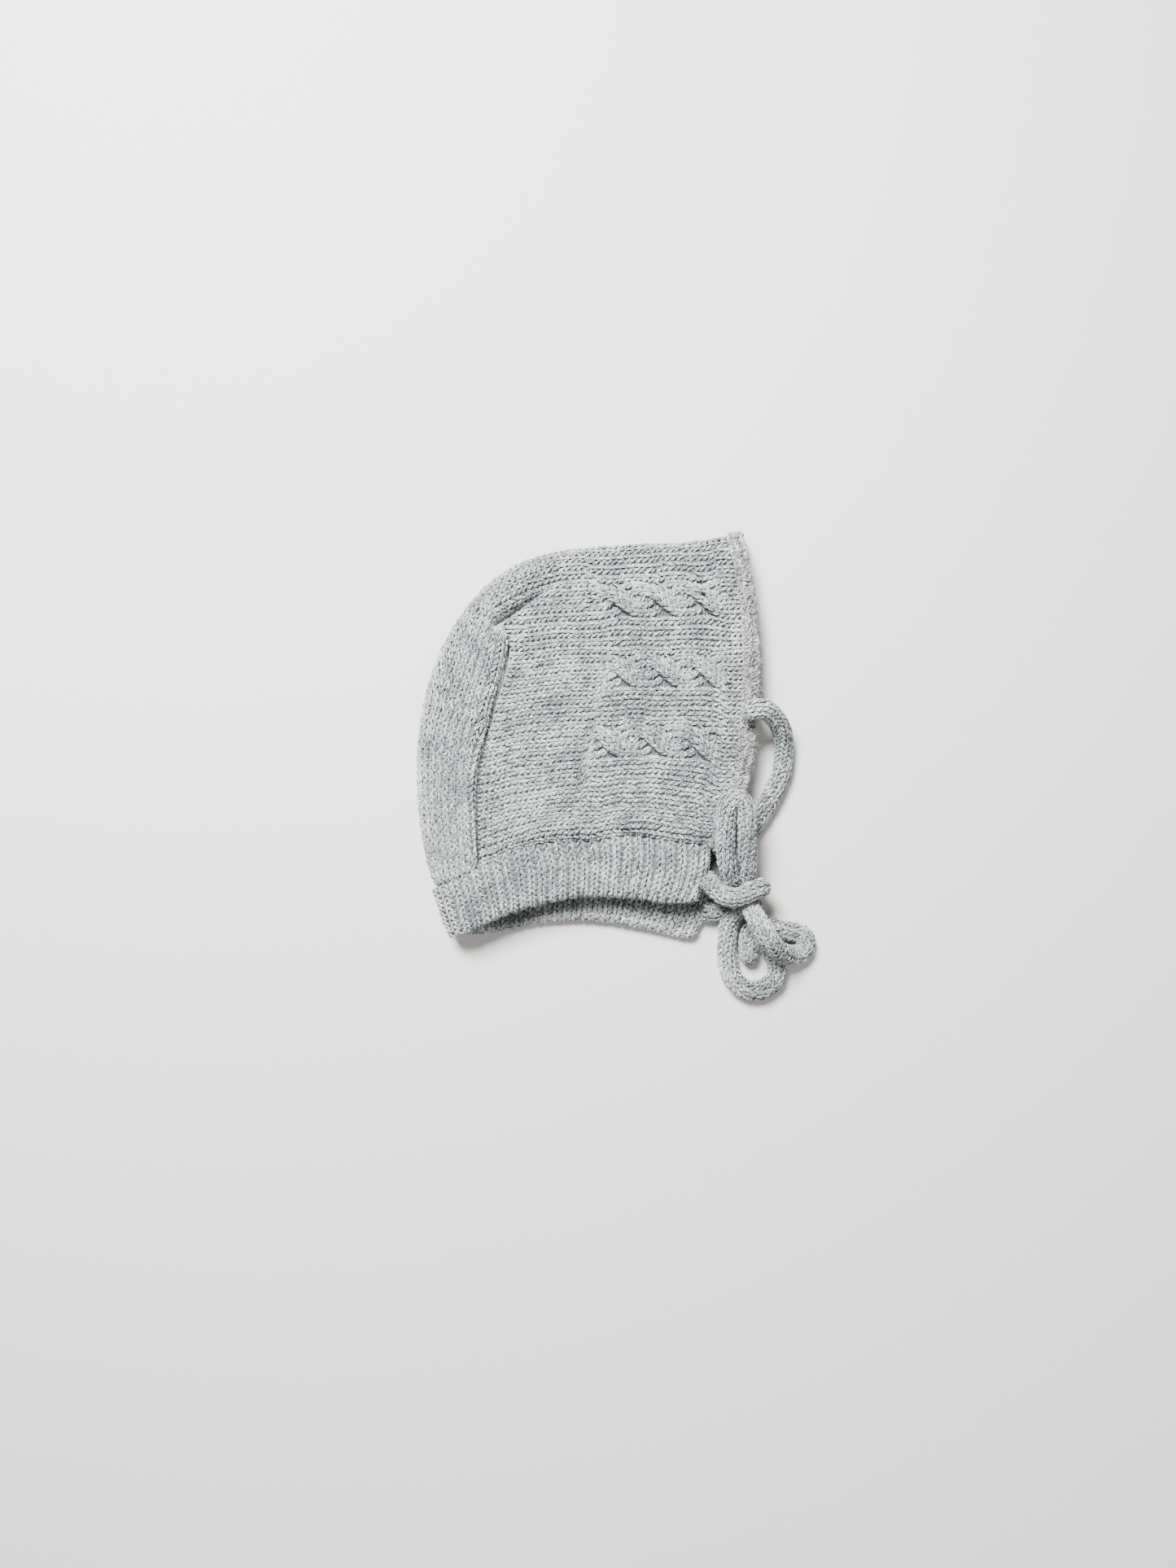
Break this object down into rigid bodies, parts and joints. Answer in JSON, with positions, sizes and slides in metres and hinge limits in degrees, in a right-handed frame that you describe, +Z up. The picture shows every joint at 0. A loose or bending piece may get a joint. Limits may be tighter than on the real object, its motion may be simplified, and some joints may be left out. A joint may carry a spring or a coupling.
{
  "type": "knitted baby bonnet with tie cords",
  "caption": "Knitted baby bonnet lying flat on its side, with a curved back panel, cabled sides, rolled face edge, folded neckband and knitted tie cords in a bow",
  "frame": {"origin": "under the middle of the bonnet's cloth, on the surface that it lies on", "axes": "+X towards the face opening, +Y towards the crown, +Z up from the surface, through both layers"},
  "size_m": [0.1477, 0.174, 0.0237],
  "materials": {
    "side_knit": "matte marled stocking stitch",
    "hem_knit": "matte marled cast-on edge, slightly fuzzy",
    "band_knit": "matte marled stocking stitch, folded double",
    "cord_knit": "matte marled knitted cord"
  },
  "bodies": {
    "root": {"crown_band": "side_knit", "back_panel": "side_knit", "front_hem": "hem_knit", "neckband": "band_knit", "tie_near_lead": "cord_knit", "tie_far_lead": "cord_knit", "bow_knot": "cord_knit", "bow_loop_upper": "cord_knit", "bow_loop_lower": "cord_knit", "tail_upper": "cord_knit", "tail_lower": "cord_knit"}
  },
  "joints": []
}
